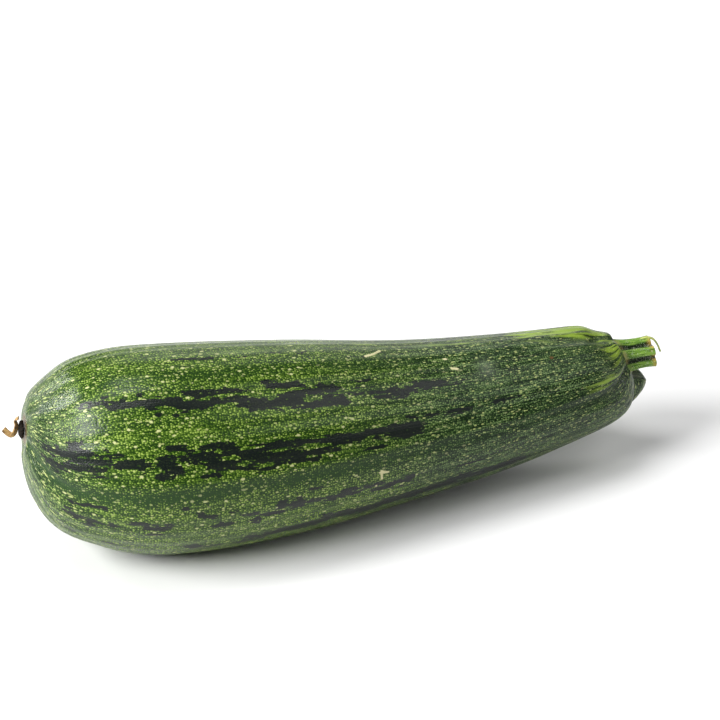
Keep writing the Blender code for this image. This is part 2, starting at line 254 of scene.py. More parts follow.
# Patterns of the skin: length along the fruit and size across it, in metres
GRAIN_SIZE = (0.00112, 0.00080, 1.0)
ROW_SIZE = (0.0140, 0.0009, 0.0009)
PATCH_SIZE = (0.0150, 0.0040, 0.0040)
WANDER_SIZE = (0.0300, 0.0150, 0.0150)
FINGER_SIZE = (0.0140, 0.0016, 0.0016)
RAGGED_SIZE = (0.0024, 0.0012, 1.0)
WOBBLE_SIZE = (0.0014, 0.0009, 1.0)
GLOW_STRIPE_SIZE = (0.0180, 0.0040, 0.0040)

# Patterns of the stem, its bristles and strip, and the dried flower, in metres
STEM_FIBRE_SIZE = (0.0060, 0.0005, 0.0005)
STEM_PATCH_SIZE = (0.0040, 0.0025, 0.0025)
BRISTLE_TONE_SIZE = (0.0020, 0.0020, 0.0020)
STRIP_FIBRE_SIZE = (0.0030, 0.0008, 0.0030)
SCAR_CRACK_SIZE = (0.0008, 0.0006, 0.0006)
PETAL_VEIN_SIZE = (0.0030, 0.0003, 0.0016)
PETAL_PATCH_SIZE = (0.0018, 0.0018, 0.0018)

# Pale marks on the skin: cell length and width in metres, share of cells left plain, and the
# least and greatest size of a mark in its cell
BLOSSOM_DASHES = (0.0095, 0.0034, 0.30, (0.14, 0.30))
FINE_FLECKS = (0.0028, 0.0017, 0.57, (0.15, 0.37))
LARGE_SPOTS = (0.0066, 0.0040, 0.42, (0.10, 0.25))

# Shares of the fruit's length over which the fine streaky skin of both ends sets in
STEMWARD = (0.50, 0.82)
BLOSSOMWARD = (0.03, 0.13)

# Radii between which the brown eye round the flower base and the cork round the stem fade
EYE_RADII = (0.0045, 0.0085)
COLLAR_RADII = (0.0085, 0.0125)

# Depth of the relief that the materials add, in metres
SKIN_RELIEF = 0.00008
STEM_RELIEF = 0.00030
STRIP_RELIEF = 0.00020
SCAR_RELIEF = 0.00040
PETAL_RELIEF = 0.00030

# Colours of the skin, as linear light
NET_GREEN = (0.011, 0.035, 0.003, 1.0)
GRAIN_GREEN = (0.067, 0.133, 0.012, 1.0)
GRAIN_PALE = (0.280, 0.390, 0.075, 1.0)
NECK_NET = (0.003, 0.014, 0.002, 1.0)
NECK_GRAIN = (0.046, 0.092, 0.024, 1.0)
NECK_PALE = (0.180, 0.260, 0.095, 1.0)
FLECK = (0.500, 0.560, 0.200, 1.0)
LINE_GREEN = (0.012, 0.050, 0.005, 1.0)
STREAK_BLACK = (0.0055, 0.0085, 0.0080, 1.0)
SPOT_CREAM = (0.580, 0.600, 0.280, 1.0)
GLOW_GREEN = (0.270, 0.400, 0.040, 1.0)
CORK = (0.620, 0.580, 0.330, 1.0)
BROWN = (0.120, 0.060, 0.020, 1.0)
# Grey-green of the painted sheen spot, a highlight painted into the colour
PAINTED_SHEEN = (0.230, 0.270, 0.200, 1.0)

# Colours of the stem, its strip and bristles, and the dried flower, as linear light
RIDGE_DARK = (0.030, 0.110, 0.008, 1.0)
RIDGE_LIGHT = (0.250, 0.430, 0.060, 1.0)
FURROW_DARK = (0.004, 0.010, 0.003, 1.0)
FURROW_LIGHT = (0.020, 0.048, 0.010, 1.0)
STEM_CORK = (0.420, 0.360, 0.140, 1.0)
RIM_BROWN = (0.320, 0.200, 0.030, 1.0)
RIM_TAN = (0.640, 0.450, 0.110, 1.0)
CUT_GREEN = (0.330, 0.340, 0.150, 1.0)
CUT_PALE = (0.520, 0.480, 0.260, 1.0)
BRISTLE_DULL = (0.560, 0.600, 0.420, 1.0)
BRISTLE_BRIGHT = (0.860, 0.880, 0.740, 1.0)
STRIP_GREEN = (0.230, 0.330, 0.050, 1.0)
STRIP_DRY = (0.520, 0.560, 0.150, 1.0)
SCAR_BLACK = (0.004, 0.003, 0.002, 1.0)
SCAR_BROWN = (0.045, 0.028, 0.014, 1.0)
PETAL_BROWN = (0.260, 0.120, 0.030, 1.0)
PETAL_TAN = (0.620, 0.400, 0.150, 1.0)
PETAL_SPOT = (0.090, 0.040, 0.015, 1.0)

# Camera
CAMERA_TARGET = Vector((0.0544, 0.0157, 0.0697))
CAMERA_ELEVATION = 32.0
CAMERA_TURN = 16.8
CAMERA_DISTANCE = 1.0
VIEW_WIDTH = 0.338
SENSOR_WIDTH = 36.0

# Floor and light. Each lamp has a name, a place, a diameter and a power in watts.
FLOOR_SIZE = 6.0
FLOOR_DROP = 0.0001
FLOOR_WHITE = (0.86, 0.86, 0.86, 1.0)
LIGHT_TARGET = (0.04, 0.0, 0.04)
LAMPS = (
    ("left_softbox", (-1.86, -0.26, 1.34), 1.4, 86.0),
    ("top_softbox", (-0.50, 0.35, 2.34), 1.1, 21.0),
    ("low_softbox", (-1.38, 1.60, 0.80), 0.5, 15.0),
    ("back_panel", (0.70, 1.87, 1.03), 1.6, 7.0),
    ("right_panel", (1.11, -0.60, 1.55), 1.2, 7.0),
    ("side_panel", (1.88, -0.62, 0.66), 0.3, 3.0),
)
WORLD_LIGHT = 0.11

# Where the skin's flat coordinates are cut open, under the fruit
SEAM_ANGLE = -90.0

RANDOM_SEED = 7


def curve_through(stations, values, at):
    """Natural cubic spline through the values at the stations."""
    xs = np.asarray(stations, dtype=float)
    ys = np.asarray(values, dtype=float)
    count = len(xs)
    step = np.diff(xs)
    system = np.eye(count)
    right = np.zeros(count)
    for i in range(1, count - 1):
        system[i, i - 1:i + 2] = step[i - 1], 2.0 * (step[i - 1] + step[i]), step[i]
        right[i] = 6.0 * ((ys[i + 1] - ys[i]) / step[i] - (ys[i] - ys[i - 1]) / step[i - 1])
    bend = np.linalg.solve(system, right)
    k = np.clip(np.searchsorted(xs, at) - 1, 0, count - 2)
    width = step[k]
    after = at - xs[k]
    before = xs[k + 1] - at
    cubic = (bend[k] * before ** 3 + bend[k + 1] * after ** 3) / (6.0 * width)
    start = (ys[k] / width - bend[k] * width / 6.0) * before
    end = (ys[k + 1] / width - bend[k + 1] * width / 6.0) * after
    return cubic + start + end


def ease(low, high, value):
    """0 below low, 1 above high, smooth between."""
    k = np.clip((value - low) / (high - low), 0.0, 1.0)
    return k * k * (3.0 - 2.0 * k)


def rounded_end(distance, length, squareness):
    """Share of the full radius at a distance from the tip of a superellipse end."""
    k = np.clip(1.0 - distance / length, 0.0, 1.0)
    return (1.0 - k ** squareness) ** (1.0 / squareness)


def nearest(angle, centre):
    """Signed angle from the centre, in degrees between -180 and 180."""
    return (angle - centre + 180.0) % 360.0 - 180.0


def bump(distance, width):
    """1 at no distance, staying near 1 and then falling off round the width."""
    return np.exp(-(distance / width) ** 4)


def body_radius(station):
    """Mean radius of the fruit at a station, with both ends rounded."""
    radius = curve_through(BODY_STATIONS, BODY_RADII, station)
    blossom = rounded_end(station, BLOSSOM_ROUNDING, BLOSSOM_SQUARENESS)
    stem = rounded_end(FRUIT_LENGTH - station, STEM_ROUNDING, STEM_SQUARENESS)
    return radius * blossom * stem


def middle_line(station):
    """Side and height of the fruit's middle at a station."""
    side = curve_through(MIDDLE_STATIONS, MIDDLE_OFFSETS, station)
    height = curve_through(MIDDLE_STATIONS, MIDDLE_HEIGHTS, station)
    return side, height


def from_corner_line(station, angle):
    """Angle from the first corner line, and angle from the nearest one, in degrees."""
    turned = angle - FIRST_LINE - LINE_TWIST * (station / FRUIT_LENGTH - 0.5)
    spacing = 360.0 / LOBES
    return turned, (turned + spacing / 2.0) % spacing - spacing / 2.0


def section_factor(station, angle):
    """Five-sided section: corners along the body, lobes with grooves at both ends."""
    share = station / FRUIT_LENGTH
    at_stem = ease(STEM_LOBES_FROM, 1.0, share)
    at_blossom = 1.0 - ease(0.0, BLOSSOM_LOBES_TO, share)
    corner = CORNER_MIDDLE * (1.0 - at_blossom) + (CORNER_STEM - CORNER_MIDDLE) * at_stem
    groove = GROOVE_MIDDLE + (GROOVE_BLOSSOM - GROOVE_MIDDLE) * at_blossom
    groove = groove + (GROOVE_STEM - GROOVE_MIDDLE) * at_stem ** 1.5
    width = GROOVE_WIDTH + (GROOVE_WIDTH_END - GROOVE_WIDTH) * np.maximum(at_stem, at_blossom)
    turned, off_line = from_corner_line(station, angle)
    wave = np.cos(np.radians(LOBES * turned))
    return 1.0 + corner * wave - groove * np.exp(-(off_line / width) ** 2)


def seat_lift(station, radius):
    """How far a ring of an end face is lifted, so that its seat is above the middle."""
    past_stem_seat = ease(STEM_SEAT_RADIUS, STEM_LIFT_RADIUS, radius)
    past_blossom_seat = ease(BLOSSOM_SEAT_RADIUS, BLOSSOM_LIFT_RADIUS, radius)
    at_stem = STEM_SEAT_LIFT * (1.0 - past_stem_seat)
    at_blossom = BLOSSOM_SEAT_LIFT * (1.0 - past_blossom_seat)
    return np.where(station > FRUIT_LENGTH / 2.0, at_stem, at_blossom)


def stem_face(station, angle, radius, rise):
    """X at the stem end: a slanted face with a flat seat, lobes round it and grooves."""
    near = ease(FRUIT_LENGTH - FACE_ZONE, FRUIT_LENGTH, station)
    valley = np.exp(-(from_corner_line(station, angle)[1] / GROOVE_WIDTH_END) ** 2)
    nose = bump(radius - LOW_LOBE_RADIUS, LOW_LOBE_DEPTH)
    reach = LOW_LOBE_REACH * nose * bump(nearest(angle, LOW_LOBE), LOW_LOBE_SPREAD)
    seat = FRUIT_LENGTH - STEM_SEAT_DEPTH
    x = station + near * (reach - STEM_FACE_GROOVE * valley)
    x = seat + (x - seat) * ease(STEM_SEAT_RADIUS, STEM_RIM_RADIUS, radius)
    return x - near * STEM_FACE_SLANT * rise


def blossom_face(station, angle, radius, rise):
    """X at the blossom end: a slanted face with a flat seat, lobes round it and grooves."""
    near = 1.0 - ease(0.0, FACE_ZONE, station)
    valley = np.exp(-(from_corner_line(station, angle)[1] / GROOVE_WIDTH_END) ** 2)
    reach = FRONT_LOBE_REACH * bump(nearest(angle, FRONT_LOBE), FRONT_LOBE_SPREAD)
    x = station + near * (BLOSSOM_FACE_GROOVE * valley - reach)
    on_rim = ease(BLOSSOM_SEAT_RADIUS, BLOSSOM_RIM_RADIUS, radius)
    x = BLOSSOM_SEAT_DEPTH + (x - BLOSSOM_SEAT_DEPTH) * on_rim
    return x + near * BLOSSOM_FACE_SLANT * rise


def profile_length():
    """Stations from end to end, and the length along the skin up to each of them."""
    share = np.linspace(0.0, 1.0, PROFILE_POINTS)
    stations = FRUIT_LENGTH * (1.0 - np.cos(np.pi * share)) / 2.0
    steps = np.hypot(np.diff(stations), np.diff(body_radius(stations)))
    return stations, np.concatenate([[0.0], np.cumsum(steps)])


def station_of(along):
    """Station of a ring. along runs evenly over the skin, from 0 at the blossom end to 1."""
    stations, lengths = profile_length()
    return np.interp(along * lengths[-1], lengths, stations)


def fruit_skin(along, angle):
    """Points of the skin, with low ribs that follow the fruit's length."""
    station = station_of(along)
    radius = body_radius(station) * section_factor(station, angle)
    ribs = np.cos(np.radians(RIB_COUNT * from_corner_line(station, angle)[0]))
    radius = radius + RIB_HEIGHT * ribs * ease(0.0, STEM_RIM_RADIUS, radius)
    side, height = middle_line(station)
    rise = radius * np.sin(np.radians(angle)) + seat_lift(station, radius)
    at_stem = stem_face(station, angle, radius, rise)
    at_blossom = blossom_face(station, angle, radius, rise)
    x = np.where(station > FRUIT_LENGTH / 2.0, at_stem, at_blossom) - REST_SPOT
    y = side + radius * np.cos(np.radians(angle))
    return x, y, np.maximum(height + rise, 0.0)


def stem_seat():
    """Middle of the flat seat that the stem grows from."""
    side, height = middle_line(np.array([FRUIT_LENGTH]))
    x = FRUIT_LENGTH - STEM_SEAT_DEPTH - STEM_FACE_SLANT * STEM_SEAT_LIFT - REST_SPOT
    return np.array([x, side[0], height[0] + STEM_SEAT_LIFT])


def blossom_seat():
    """Middle of the flat seat that carries the dried flower."""
    side, height = middle_line(np.array([0.0]))
    x = BLOSSOM_SEAT_DEPTH + BLOSSOM_FACE_SLANT * BLOSSOM_SEAT_LIFT - REST_SPOT
    return np.array([x, side[0], height[0] + BLOSSOM_SEAT_LIFT])


def in_valley(angle):
    """1 in the middle of a valley between the stem's ridges, 0 on the ridges."""
    depth = np.zeros_like(angle)
    for valley in STEM_VALLEYS:
        depth = np.maximum(depth, np.exp(-(nearest(angle, valley) / STEM_VALLEY_WIDTH) ** 2))
    return depth


def stem_share(along):
    """Share of the stem's length, and share of the end discs' radius, at a ring."""
    share = np.clip((along - STEM_DISC) / (1.0 - 2.0 * STEM_DISC), 0.0, 1.0)
    return share, np.clip(np.minimum(along, 1.0 - along) / STEM_DISC, 0.0, 1.0)


def stem_skin(along, angle):
    """Ridged stem with a disc at each end and fibres along it, from its seat outwards."""
    share, in_disc = stem_share(along)
    radius = curve_through(STEM_STATIONS, STEM_RADII, share)
    radius = radius * (1.0 - STEM_VALLEY_DEPTH * in_valley(angle))
    fibres = np.sin(np.radians(STEM_FIBRES * angle + STEM_FIBRE_TURN * share))
    radius = (radius + STEM_FIBRE_HEIGHT * fibres) * in_disc
    y = radius * np.cos(np.radians(angle))
    z = radius * np.sin(np.radians(angle))
    cut = STEM_LENGTH - STEM_CUT_SLANT * z - STEM_CUT_HOLLOW * (1.0 - in_disc)
    x = share * cut - (1.0 - share) * STEM_FACE_SLANT * z
    seat = stem_seat()
    return seat[0] + GAP + x, seat[1] + y, seat[2] + z


def scar_skin(along, angle):
    """Low wrinkled cone, wide on its seat and narrow at its tip, which points to -X."""
    share = 1.0 - along
    radius = SCAR_TIP_RADIUS + (SCAR_RADIUS - SCAR_TIP_RADIUS) * np.sqrt(1.0 - share ** 2)
    radius = radius * np.sqrt(np.sin(np.pi * along))
    radius = radius * (1.0 + SCAR_LOBE_SHARE * np.cos(np.radians(LOBES * angle)))
    wrinkles = np.cos(np.radians(SCAR_WRINKLES * angle + SCAR_WRINKLE_TURN * along))
    radius = radius + SCAR_WRINKLE_HEIGHT * wrinkles * np.sin(np.pi * along)
    seat = blossom_seat()
    y = radius * np.cos(np.radians(angle))
    z = radius * np.sin(np.radians(angle))
    x = BLOSSOM_FACE_SLANT * z - GAP - SCAR_HEIGHT * ease(0.0, 1.0, share)
    return seat[0] + x, seat[1] + y, seat[2] + z


def tube_grid(rings, segments):
    """Along and angle of each point: one pole, then rings of points, then the other pole."""
    along = np.repeat(np.arange(1, rings) / rings, segments)
    angle = np.tile(SEAM_ANGLE + np.arange(segments) * 360.0 / segments, rings - 1)
    along = np.concatenate([[0.0], along, [1.0]])
    angle = np.concatenate([[0.0], angle, [0.0]])
    return along, angle


def tube_faces(rings, segments):
    """Faces of the shape whose points tube_grid gives, and the column of each face corner."""
    last = 1 + (rings - 1) * segments
    faces = []
    columns = []
    for j in range(segments):
        k = (j + 1) % segments
        faces.append((0, 1 + k, 1 + j))
        columns.extend((j + 0.5, j + 1, j))
        faces.append((last, last - segments + j, last - segments + k))
        columns.extend((j + 0.5, j, j + 1))
        for i in range(rings - 2):
            row = 1 + i * segments
            faces.append((row + j, row + k, row + segments + k, row + segments + j))
            columns.extend((j, j + 1, j + 1, j))
    return faces, np.array(columns)


def closed_shape(name, rings, segments, skin):
    """Smooth closed mesh through the points that skin(along, angle) gives."""
    along, angle = tube_grid(rings, segments)
    points = np.stack(skin(along, angle), axis=1)
    faces, columns = tube_faces(rings, segments)
    mesh = bpy.data.meshes.new(name)
    mesh.from_pydata(points.tolist(), [], faces)
    mesh.update()
    mesh.shade_smooth()
    piece = bpy.data.objects.new(name, mesh)
    bpy.context.scene.collection.objects.link(piece)
    corner_angle = SEAM_ANGLE + columns * 360.0 / segments
    return piece, along, angle, corner_angle


def keep_flat_place(piece, along, corner_angle, length, radius):
    """Stores each face corner's place on the skin as if it were cut open and laid flat."""
    corners = np.zeros(len(piece.data.loops), dtype=np.int32)
    piece.data.loops.foreach_get("vertex_index", corners)
    across = radius * np.radians(corner_angle)
    place = np.stack([along[corners] * length, across, np.zeros(len(corners))], axis=1)
    layer = piece.data.attributes.new("flat", "FLOAT_VECTOR", "CORNER")
    layer.data.foreach_set("vector", place.astype(np.float32).ravel())


def keep_number(piece, name, values):
    """Stores a number per vertex, for the material to read."""
    layer = piece.data.attributes.new(name, "FLOAT", "POINT")
    layer.data.foreach_set("value", np.asarray(values, dtype=np.float32))


def keep_vector(piece, name, values):
    """Stores a vector per vertex, for the material to read."""
    layer = piece.data.attributes.new(name, "FLOAT_VECTOR", "POINT")
    layer.data.foreach_set("vector", np.asarray(values, dtype=np.float32).ravel())


def dress(piece, material, slot, *nodes):
    """Gives a piece its material and its place on the body, and hides the imported parts it stands
    for.
    """
    piece.data.materials.append(material)
    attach(piece, "root")
    if nodes:
        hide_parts(*nodes)


def streak_at(station, angle, streak, longest_fade):
    """Weight of one streak or patch, with soft ends and sides."""
    start, end, centre, half_width, strength = streak
    fade = min(longest_fade, (end - start) / 2.0)
    ends = ease(start - fade, start + fade, station) * (1.0 - ease(end - fade, end + fade, station))
    return strength * ends * np.exp(-(nearest(angle, centre) / (half_width * STREAK_SPREAD)) ** 2)


def hidden_streaks():
    """Streaks for the lanes that aren't seen first, drawn with a fixed seed."""
    draw = np.random.default_rng(RANDOM_SEED)
    streaks = []
    for lane in HIDDEN_LANES:
        start = draw.uniform(*LANE_START)
        while start < LANE_END:
            end = start + draw.uniform(*STREAK_LENGTHS)
            angle = lane + draw.uniform(*STREAK_OFFSETS)
            half_width = draw.uniform(*STREAK_HALF_WIDTHS)
            streaks.append((start, end, angle, half_width, draw.uniform(*STREAK_STRENGTHS)))
            start = end + draw.uniform(*STREAK_GAPS)
    return streaks


def in_metres(streaks):
    """The same streaks with their stations in metres."""
    return [(start / 1000.0, end / 1000.0, *rest) for start, end, *rest in streaks]


def streak_weight(station, angle, streaks, longest_fade):
    """How much each point belongs to any of the streaks."""
    weight = np.zeros_like(station)
    for streak in streaks:
        weight = np.maximum(weight, streak_at(station, angle, streak, longest_fade))
    return weight


def line_weight(station, angle):
    """How much each point belongs to a dark line along a corner."""
    turned = from_corner_line(station, angle)[0]
    radius = np.maximum(body_radius(station), STEM_RIM_RADIUS)
    weight = np.zeros_like(station)
    for place, half_width, strength in LINES:
        across = radius * np.radians(nearest(turned, place))
        weight = np.maximum(weight, strength * np.exp(-(across / half_width) ** 2))
    return weight


def scratch_weight(station, angle):
    """How much each point belongs to a healed scratch."""
    weight = np.zeros_like(station)
    radius = body_radius(station)
    for (start, start_angle), (end, end_angle), half_width in SCRATCHES:
        along = station - start / 1000.0
        across = radius * np.radians(nearest(angle, start_angle))
        run = (end - start) / 1000.0
        reach = body_radius(np.array([start / 1000.0]))[0] * np.radians(end_angle - start_angle)
        size = max(run ** 2 + reach ** 2, half_width ** 2)
        share = np.clip((along * run + across * reach) / size, 0.0, 1.0)
        distance = np.hypot(along - share * run, across - share * reach)
        weight = np.maximum(weight, np.exp(-(distance / half_width) ** 2))
    return weight


def spot_weight(station, angle, spot):
    """Soft round spot on the skin: station in millimetres, angle and radius in metres."""
    place, centre, size = spot
    across = body_radius(station) * np.radians(nearest(angle, centre))
    return np.exp(-(np.hypot(station - place / 1000.0, across) / size) ** 2)


def keep_skin_marks(fruit, along, angle, corner_angle):
    """Stores where each point of the skin is, and which markings it carries."""
    station = station_of(along)
    length = profile_length()[1][-1]
    turn = np.radians(angle)
    place = [along * length, TYPICAL_RADIUS * np.cos(turn), TYPICAL_RADIUS * np.sin(turn)]
    keep_vector(fruit, "skin", np.stack(place, axis=1))
    keep_flat_place(fruit, along, corner_angle, length, TYPICAL_RADIUS)
    streaks = in_metres(STREAKS) + hidden_streaks()
    keep_number(fruit, "line", line_weight(station, angle))
    keep_number(fruit, "share", station / FRUIT_LENGTH)
    keep_number(fruit, "streak", streak_weight(station, angle, streaks, STREAK_FADE))
    keep_number(fruit, "glow", streak_weight(station, angle, in_metres(GLOWS), GLOW_FADE))
    keep_number(fruit, "scratch", scratch_weight(station, angle))
    keep_number(fruit, "brown", spot_weight(station, angle, BROWN_SPOT))
    # Weight of the painted sheen spot, a highlight painted into the colour
    keep_number(fruit, "pale", spot_weight(station, angle, PAINTED_SHEEN_SPOT))
    radius = body_radius(station)
    at_blossom = station < FRUIT_LENGTH / 2.0
    keep_number(fruit, "eye", np.where(at_blossom, 1.0 - ease(*EYE_RADII, radius), 0.0))
    keep_number(fruit, "collar", np.where(at_blossom, 0.0, 1.0 - ease(*COLLAR_RADII, radius)))


def node(tree, kind, inputs=None, **settings):
    """Adds a shader node. An input takes a number, a colour or another node's output."""
    made = tree.nodes.new(kind)
    for key, value in settings.items():
        setattr(made, key, value)
    for key, value in (inputs or {}).items():
        if isinstance(value, bpy.types.NodeSocket):
            tree.links.new(value, made.inputs[key])
        else:
            made.inputs[key].default_value = value
    return made


def maths(tree, operation, first, second):
    """One step of arithmetic with two inputs."""
    return node(tree, "ShaderNodeMath", {0: first, 1: second}, operation=operation).outputs[0]


def times(tree, first, second):
    return maths(tree, "MULTIPLY", first, second)


def plus(tree, first, second):
    return maths(tree, "ADD", first, second)


def minus(tree, first, second):
    return maths(tree, "SUBTRACT", first, second)


def spread(tree, value, low, high, to_low=0.0, to_high=1.0):
    """Smooth step of a value between low and high."""
    inputs = {"Value": value, "From Min": low, "From Max": high}
    inputs.update({"To Min": to_low, "To Max": to_high})
    kind = "ShaderNodeMapRange"
    return node(tree, kind, inputs, interpolation_type="SMOOTHSTEP").outputs["Result"]


def mix(tree, share, below, above):
    """Colour between two others."""
    inputs = {0: share, 6: below, 7: above}
    return node(tree, "ShaderNodeMix", inputs, data_type="RGBA").outputs[2]


def number(tree, name):
    """A number stored per vertex."""
    return node(tree, "ShaderNodeAttribute", attribute_name=name).outputs["Fac"]


def stored_vector(tree, name):
    """A vector stored per vertex or face corner."""
    return node(tree, "ShaderNodeAttribute", attribute_name=name).outputs["Vector"]


def stretched(tree, vector, sizes):
    """Coordinates in which a feature of the given sizes is one unit."""
    scale = [1.0 / size for size in sizes]
    inputs = {0: vector, 1: scale}
    return node(tree, "ShaderNodeVectorMath", inputs, operation="MULTIPLY").outputs[0]


def noise(tree, vector, sizes, detail, roughness=0.5):
    """Smooth noise whose features have the given sizes."""
    vector = stretched(tree, vector, sizes)
    inputs = {"Vector": vector, "Scale": 1.0, "Detail": detail, "Roughness": roughness}
    return node(tree, "ShaderNodeTexNoise", inputs).outputs["Fac"]


def cells(tree, vector, sizes, randomness=1.0):
    """Flat cells of the given sizes: distance from the nearest middle, and a random colour."""
    inputs = {"Vector": stretched(tree, vector, sizes), "Scale": 1.0, "Randomness": randomness}
    made = node(tree, "ShaderNodeTexVoronoi", inputs, voronoi_dimensions="2D")
    return made.outputs["Distance"], made.outputs["Color"]


def channel(tree, colour, name):
    """The red, green or blue of a colour."""
    return node(tree, "ShaderNodeSeparateColor", {"Color": colour}).outputs[name]


def new_material(name, roughness, specular=0.5):
    """Empty Principled material, its node tree and its shader."""
    material = bpy.data.materials.new(name)
    material.use_nodes = True
    tree = material.node_tree
    shader = tree.nodes["Principled BSDF"]
    shader.inputs["Roughness"].default_value = roughness
    shader.inputs["Specular IOR Level"].default_value = specular
    return material, tree, shader


def bump_with(tree, shader, height, distance):
    """Relief of the given depth in metres."""
    made = node(tree, "ShaderNodeBump", {"Height": height, "Distance": distance, "Strength": 1.0})
    tree.links.new(made.outputs["Normal"], shader.inputs["Normal"])


def ground_colour(tree, flat, rows, patchy, neck, line):
    """Fine pale grains of uneven brightness on a dark net, in rows along the fruit.

    A higher level is paler. Rows and patches lift or lower it, and dark lines lower it.
    """
    far, tint = cells(tree, flat, GRAIN_SIZE, 0.9)
    lit = channel(tree, tint, "Red")
    bright = plus(tree, 0.34, times(tree, times(tree, lit, lit), 0.90))
    grain = times(tree, spread(tree, far, 0.05, 0.66, 1.0, 0.0), bright)
    in_rows = times(tree, minus(tree, rows, 0.5), plus(tree, 0.9, times(tree, neck, 0.9)))
    uneven = plus(tree, in_rows, times(tree, minus(tree, patchy, 0.5), 0.60))
    level = minus(tree, plus(tree, grain, uneven), times(tree, line, 0.34))
    darker = minus(tree, 0.03, times(tree, neck, 0.05))
    level = plus(tree, times(tree, level, 1.15), darker)
    lower = spread(tree, level, 0.0, 0.50)
    upper = spread(tree, level, 0.45, 1.05)
    body = mix(tree, upper, mix(tree, lower, NET_GREEN, GRAIN_GREEN), GRAIN_PALE)
    narrow = mix(tree, upper, mix(tree, lower, NECK_NET, NECK_GRAIN), NECK_PALE)
    return mix(tree, neck, body, narrow), far


def fleck_share(tree, flat, length, width, rarity, sizes):
    """Scattered pale flecks or spots with uneven edges, one at most in each cell."""
    wobble = noise(tree, flat, WOBBLE_SIZE, 2.0)
    far, tint = cells(tree, flat, (length, width, 1.0))
    kept = spread(tree, channel(tree, tint, "Green"), rarity, rarity + 0.04)
    edge = plus(tree, far, times(tree, wobble, 0.20))
    size = spread(tree, channel(tree, tint, "Blue"), 0.0, 1.0, *sizes)
    return times(tree, kept, spread(tree, minus(tree, size, edge), -0.04, 0.06))


def streak_share(tree, skin, flat):
    """Near-black streaks that break up into long fingers, with ragged grainy edges.

    A streak shows where its stored weight is above an edge that fingers and cells make uneven.
    """
    fingers = noise(tree, skin, FINGER_SIZE, 3.0, 0.55)
    tint = cells(tree, flat, RAGGED_SIZE)[1]
    ragged = times(tree, channel(tree, tint, "Red"), 0.46)
    edge = plus(tree, ragged, times(tree, minus(tree, fingers, 0.5), 1.2))
    level = minus(tree, number(tree, "streak"), plus(tree, edge, 0.30))
    return spread(tree, level, -0.03, 0.05)


def glow_share(tree, skin):
    """Yellow-green patches that end in stripes along the fruit."""
    stripes = noise(tree, skin, GLOW_STRIPE_SIZE, 2.0)
    stripes = plus(tree, times(tree, minus(tree, stripes, 0.5), 5.0), 0.9)
    return spread(tree, times(tree, number(tree, "glow"), stripes), 0.25, 0.95)


def with_marks(tree, colour, skin, flat, line, stemward, blossomward, neck):
    """The ground colour with its dark lines, glows, pale flecks and black streaks."""
    line_mix = times(tree, line, plus(tree, 0.44, times(tree, blossomward, 0.4)))
    colour = mix(tree, line_mix, colour, LINE_GREEN)
    colour = mix(tree, times(tree, glow_share(tree, skin), 0.85), colour, GLOW_GREEN)
    dashes = times(tree, fleck_share(tree, flat, *BLOSSOM_DASHES), blossomward)
    colour = mix(tree, dashes, colour, FLECK)
    fine = fleck_share(tree, flat, *FINE_FLECKS)
    large = fleck_share(tree, flat, *LARGE_SPOTS)
    unflecked = minus(tree, 1.0, times(tree, fine, 0.35))
    streaks = times(tree, streak_share(tree, skin, flat), unflecked)
    colour = mix(tree, times(tree, streaks, 0.97), colour, STREAK_BLACK)
    off_line = spread(tree, line, 0.2, 0.9, 1.0, 0.5)
    clear = times(tree, off_line, spread(tree, streaks, 0.1, 0.6, 1.0, 0.0))
    fine = times(tree, times(tree, fine, clear), plus(tree, 0.60, times(tree, neck, 0.06)))
    colour = mix(tree, fine, colour, FLECK)
    spot_strength = minus(tree, 0.80, times(tree, stemward, 0.50))
    return mix(tree, times(tree, times(tree, large, clear), spot_strength), colour, SPOT_CREAM)


def with_scars(tree, colour, scratched, patchy):
    """The marked colour with healed scratches, a painted sheen spot that stands for a highlight,
    brown spots and the cork collar.
    """
    colour = mix(tree, scratched, colour, CORK)
    # Painted highlight: the sheen spot lays a pale grey-green into the colour
    colour = mix(tree, times(tree, number(tree, "pale"), 0.30), colour, PAINTED_SHEEN)
    spot = spread(tree, number(tree, "brown"), 0.4, 0.7)
    browned = maths(tree, "MAXIMUM", spot, number(tree, "eye"))
    colour = mix(tree, times(tree, browned, 0.85), colour, BROWN)
    corky = times(tree, number(tree, "collar"), spread(tree, patchy, 0.45, 0.60))
    return mix(tree, times(tree, corky, 0.8), colour, CORK)


def skin_material():
    """Waxy skin: grains, cream spots, dark lines, black streaks and small scars."""
    material, tree, shader = new_material("skin", 0.32, 0.26)
    skin = stored_vector(tree, "skin")
    flat = stored_vector(tree, "flat")
    share = number(tree, "share")
    wander = noise(tree, skin, WANDER_SIZE, 2.0)
    rows = noise(tree, skin, ROW_SIZE, 2.0)
    patchy = noise(tree, skin, PATCH_SIZE, 3.0)
    line = times(tree, number(tree, "line"), spread(tree, wander, 0.30, 0.55, 0.65, 1.0))
    stemward = spread(tree, plus(tree, share, times(tree, wander, 0.20)), *STEMWARD)
    from_blossom = plus(tree, share, times(tree, wander, 0.06))
    blossomward = spread(tree, from_blossom, *BLOSSOMWARD, 0.8, 0.0)
    neck = maths(tree, "MAXIMUM", stemward, blossomward)
    line = times(tree, line, minus(tree, 1.0, times(tree, stemward, 0.6)))
    colour, far = ground_colour(tree, flat, rows, patchy, neck, line)
    colour = with_marks(tree, colour, skin, flat, line, stemward, blossomward, neck)
    scratched = plus(tree, number(tree, "scratch"), times(tree, far, 0.3))
    scratched = spread(tree, scratched, 0.50, 0.75)
    colour = with_scars(tree, colour, scratched, patchy)
    tree.links.new(colour, shader.inputs["Base Color"])

    gloss = spread(tree, wander, 0.3, 0.7, 0.25, 0.34)
    rough = maths(tree, "MAXIMUM", gloss, times(tree, scratched, 0.75))
    tree.links.new(rough, shader.inputs["Roughness"])
    ribbed = times(tree, rows, times(tree, neck, 1.8))
    relief = plus(tree, plus(tree, times(tree, far, -0.8), scratched), ribbed)
    bump_with(tree, shader, relief, SKIN_RELIEF)
    return material


